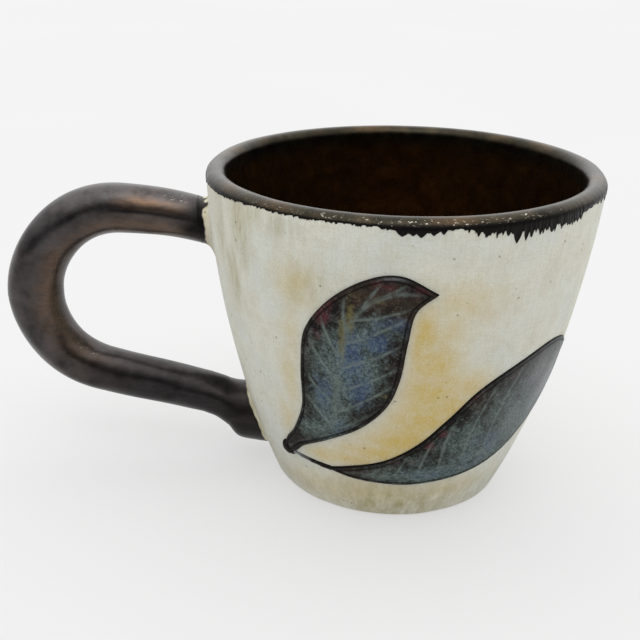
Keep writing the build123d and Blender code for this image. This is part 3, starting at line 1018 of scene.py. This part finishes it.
# The coil's stretches: radius of the bend, degrees it turns, and its own radius at the end.
coil_stretches = [(90.0 * mm, 17.6, 6.7 * mm), (upper_bend, 90.0, waist_radius),
                  (23.6 * mm, 78.0, 6.5 * mm)]
lower_arm_length = 30.0 * mm
arm_end_radius = 5.9 * mm
# The heel: x, centre height, half height and half width.
heel_stations = np.array([(-49.6, 18.3, 5.9, 6.2), (-46.4, 16.4, 6.8, 6.9), (-43.4, 14.4, 8.3, 7.7),
                          (-38.0, 14.0, 8.9, 8.2), (-31.0, 13.6, 9.2, 8.4)]) * mm
coil_columns = 120
coil_start_radius = 5.8 * mm
coil_spacing = 1.2 * mm       # between the sections of a bend
arm_steps = 27
heel_steps = 8                # between each two of the heel's stations

# Patches on the coil: from and to along it and the softness of these ends in mm, degrees from
# its front towards the outside of its bend, half width in degrees, strength.
copper_patches = [(12, 27, 7, 28, 14, 0.95), (6, 40, 14, -32, 24, 0.50),
                  (38, 96, 26, -38, 26, 0.50)]
# The dark patch is a painted dark band along the upper arm, standing in for the dark front that it
# reflects.
dark_band_patches = [(9, 30, 6, 8, 5, 0.85)]
# The first fleck patch is a white speck by the upper joint; the second is a painted highlight on
# the lower arm's inner top.
speck_and_glint_patches = [(9, 16, 3, 58, 12, 0.8), (88, 97, 5, -50, 12, 0.4)]


def ripples(turn, *waves):
    """Waves round a turn in degrees, each given by its count, its phase and its size."""
    return sum(size * np.sin(np.radians(turn * count + phase)) for count, phase, size in waves)


def coil_sections():
    """Centre x and z, heading, half height, half width and travel of the coil's sections."""
    first_bend, first_turn, _ = coil_stretches[0]
    heading = math.radians(180 - first_turn)
    crest_x = upper_bend - handle_reach
    crest_height = handle_waist + upper_bend
    x = crest_x + first_bend * math.sin(math.radians(first_turn))
    z = crest_height - first_bend + first_bend * math.cos(math.radians(first_turn))
    radius = coil_start_radius
    sections = [(x, z, heading, radius, radius)]
    for bend, turn, end_radius in coil_stretches:
        steps = round(math.radians(turn) * bend / coil_spacing)
        step_turn = math.radians(turn) / steps
        stride = 2 * bend * math.sin(step_turn / 2)
        for radius in np.linspace(radius, end_radius, steps + 1)[1:]:
            x += stride * math.cos(heading + step_turn / 2)
            z += stride * math.sin(heading + step_turn / 2)
            heading += step_turn
            sections.append((x, z, heading, radius, radius))
    stride = lower_arm_length / arm_steps
    for radius in np.linspace(radius, arm_end_radius, arm_steps + 1)[1:]:
        x += stride * math.cos(heading)
        z += stride * math.sin(heading)
        sections.append((x, z, heading, radius, radius))

    # The last section but one only steers the curve into the heel, which ends level.
    tail = np.vstack([(sections[-2][0], sections[-2][1], radius, radius), heel_stations])
    heel = smooth_through(tail, heel_steps)[heel_steps:]
    for k, (heel_x, heel_z, half_height, half_width) in enumerate(heel):
        lean = heading + (2 * math.pi - heading) * min(1.0, k / heel_steps)
        sections.append((heel_x, heel_z, lean, half_height, half_width))
    middles = np.array([section[:2] for section in sections])
    strides = np.linalg.norm(np.diff(middles, axis=0), axis=1)
    travelled = np.concatenate([[0], np.cumsum(strides)])
    return [(*section, distance) for section, distance in zip(sections, travelled)]


coil = coil_sections()


def crossing(stand_off, sections):
    """The section whose middle first stands so far off the wall."""
    for section in sections:
        if -section[0] > wall_radius(section[1]) + stand_off:
            return section
    raise ValueError("the coil never leaves the wall")


def loop_off_wall(stand_off, sections):
    """The line round the coil that stands everywhere so far off the wall."""
    rings = np.array([coil_ring(*section) for section in sections])
    off_wall = np.hypot(rings[..., 0], rings[..., 1]) - wall_radius(rings[..., 2])
    past = np.argmax(off_wall > stand_off, axis=0)
    each = np.arange(coil_columns)
    before, after = off_wall[past - 1, each], off_wall[past, each]
    share = ((stand_off - before) / (after - before))[:, None]
    return rings[past - 1, each] * (1 - share) + rings[past, each] * share


def keep_outside(points, depth):
    """Moves points that are deep in the wall out to a depth, so that none shows inside."""
    spread = np.hypot(points[:, 0], points[:, 1])
    least = wall_radius(np.clip(points[:, 2], 0, lip_level), depth)
    push = np.maximum(least / np.maximum(spread, 1e-6), 1)
    return points * np.stack([push, push, np.ones(len(push))], 1)


def coil_ring(x, z, heading, half_height, half_width, travelled):
    """Points round one section of the coil, pressed a little out of round."""
    turns = turns_of(coil_columns)
    uneven = (1 + 0.016 * np.sin(2 * turns + travelled * 70)
              + 0.010 * np.sin(3 * turns - travelled * 160 + 1)
              + 0.008 * np.sin(5 * turns + travelled * 310 + 2))
    out = half_height * uneven * np.cos(turns)
    side = half_width * uneven * np.sin(turns)
    return np.stack([x + out * math.sin(heading), side, z - out * math.cos(heading)], 1)


def joint_soot(outward):
    """Darkness of the glaze round the coil at a joint: it thins above and below."""
    middle, dark_half, fade, thinned = 15, 30, 35, 0.7
    return 1 - thinned * unit((np.abs(outward - middle) - dark_half) / fade)


def make_handle(glaze):
    """The thick coil handle, closed at both ends inside the wall."""
    buried = 1.6 * mm
    rings = [keep_outside(coil_ring(*section), buried) for section in coil]
    start = rings[0].mean(0)[None, :]
    end = rings[-1].mean(0)[None, :]
    handle = solid_of_rings("coil_handle", [start] + rings + [end])
    distances = np.array([section[-1] for section in coil])
    length = distances[-1]
    travelled = np.concatenate([[0], np.repeat(distances, coil_columns), [length]])
    # Degrees from the front of the coil towards the outside of its bend.
    one_ring = (turns_of(coil_columns, 360) - 90) % 360 - 180
    outward = np.concatenate([[0], np.tile(one_ring, len(coil)), [0]])

    def strongest(patches):
        """The strongest of some soft patches at each point."""
        amounts = []
        for first, last, fade, centre, half_width, strength in patches:
            rise = unit((travelled - first * mm) / (fade * mm) + 0.5)
            fall = unit((last * mm - travelled) / (fade * mm) + 0.5)
            amounts.append(strength * np.minimum(rise, fall) * bell(outward - centre, half_width))
        return np.maximum.reduce(amounts)

    paint(handle, "copper", strongest(copper_patches))
    wavy_joint = travelled + ripples(outward, (3, 0, 0.8 * mm), (7, 40, 0.5 * mm))
    joint_end, joint_fade = 11.5 * mm, 4.5 * mm
    at_joint = joint_soot(outward) * unit((joint_end - wavy_joint) / joint_fade)
    # The lower arm is darker, and its heel a little more: length before the end, fade, amount.
    low_arm = 0
    for before_end, fade, amount in [(70 * mm, 26 * mm, 0.60), (22 * mm, 7 * mm, 0.12)]:
        low_arm = low_arm + amount * unit((travelled - (length - before_end)) / fade)
    # Dark joints, the darker lower arm, and the painted dark band along the upper arm.
    paint(handle, "soot_and_shade", np.maximum.reduce([at_joint, low_arm, strongest(dark_band_patches)]))
    paint(handle, "specks_and_glints", strongest(speck_and_glint_patches))
    finish_piece(handle, glaze, "handle_glaze", "handle")


def on_wall(points, depth):
    """The same points, moved level along X onto the handle's side of the wall."""
    radius = wall_radius(np.clip(points[:, 2], 0, lip_level), depth)
    x = -np.sqrt(np.maximum(radius**2 - points[:, 1]**2, 0))
    return np.stack([x, points[:, 1], points[:, 2]], 1)


def make_collar(name, node, slip, at_wall, neck, spreads, bare_to, tongues):
    """Clay flared from the wall up to the coil, under the slip, which ends short of the coil.

    The spreads are factors up, down and sideways; each tongue of handle glaze is given by its
    turn round the coil, its half width in degrees and how far it reaches down the flare.
    """
    spread_up, spread_down, spread_side = spreads
    over_coil = 1.008             # the neck stands just off the coil
    foot_depth, buried = 0.12 * mm, 1.4 * mm
    seam_fade = 0.3 * mm
    stained_below = 30.0 * mm
    root = on_wall(coil_ring(*at_wall), 0.0)
    centre = root.mean(0)
    neck_centre = neck.mean(0)
    neck = neck_centre + (neck - neck_centre) * over_coil
    away = root - centre
    spread = np.where(away[:, 2] > 0, spread_up, spread_down)
    side_share = np.abs(away[:, 1]) / np.abs(away[:, 1]).max()
    spread = spread + (spread_side - spread) * side_share**2
    wide = centre + away * spread[:, None]
    foot_loop = on_wall(wide, foot_depth)
    rings = [on_wall(wide, buried)]
    for t in np.linspace(0, 1, 30):
        rings.append((1 - t)**2 * foot_loop + 2 * t * (1 - t) * root + t**2 * neck)
    rings.append(neck_centre + (neck - neck_centre) * 0.85)
    rings.append(on_wall(centre + away * 0.8, buried))
    collar = solid_of_rings(name, rings, joined_ends=True)

    points = np.concatenate(rings)
    off_wall = np.hypot(points[:, 0], points[:, 1]) - wall_radius(points[:, 2])
    turn = np.tile(turns_of(coil_columns, 360), len(rings))
    edge = bare_to + ripples(turn, (5, 0, 0.14 * mm), (17, 50, 0.08 * mm))
    for tongue_turn, half_width, reach in tongues:
        edge = edge - reach * bell(turn - tongue_turn, half_width)
    paint(collar, "seam", unit((off_wall - edge) / seam_fade))
    paint(collar, "soot_and_shade", joint_soot((turn - 90) % 360 - 180))
    paint(collar, "ochre", 0.10 + 0.20 * bell(off_wall - edge, 0.8 * mm))
    paint(collar, "olive", 0.25 + 0.25 * (points[:, 2] < stained_below))
    finish_piece(collar, slip, "white_engobe", node)


# ---------------------------------------------------------------- everything

add_camera()
add_light()
add_floor()

slip = engobe_finish()
clay = clay_finish()
rim_bronze = bronze_finish("rim_bronze", shade(27, 25, 18), shade(40, 37, 28),
                           shade(54, 50, 38), shade(80, 62, 43), 0.25)
handle_bronze = bronze_finish("handle_bronze", shade(48, 45, 45), shade(68, 65, 65),
                              shade(82, 78, 79), shade(118, 94, 74), 0.15)

make_cup_wall(clay)
make_cup_floor(clay)
make_liner(rim_bronze)
make_engobe(slip)
make_handle(handle_bronze)
make_collar("upper_collar", "upper_handle_collar", slip, crossing(0.0, coil),
            loop_off_wall(3.4 * mm, coil), (1.75, 2.3, 1.5), 1.7 * mm,
            [(328, 9, 1.6 * mm), (350, 6, 1.2 * mm)])
make_collar("lower_collar", "lower_handle_collar", slip, crossing(0.0, coil[::-1]),
            loop_off_wall(1.3 * mm, coil[::-1]), (1.16, 1.14, 1.24), 0.8 * mm, [])
make_bud(leaf_finish("bud_glaze", 11.0))
make_stem(leaf_finish("stem_glaze", 14.0))

upper_leaf.add_veins(0, 8, (0.24, 0.86), (0.23, 0.92))
upper_leaf.add_veins(1, 8, (0.10, 0.74), (0.46, 0.98))
build_leaf("upper_leaf_relief", "upper_leaf", upper_leaf, leaf_finish("upper_leaf_glaze", 1.0),
           1.1 * mm, 1.0, upper_leaf_stains_and_sheen)
lower_leaf.add_veins(0, 10, (0.15, 0.82), (0.22, 0.90))
lower_leaf.add_veins(1, 8, (0.12, 0.85), (0.20, 0.88))
build_leaf("lower_leaf_relief", "lower_leaf", lower_leaf, leaf_finish("lower_leaf_glaze", 6.0),
           0.9 * mm, 0.35, lower_leaf_stains_and_sheen)
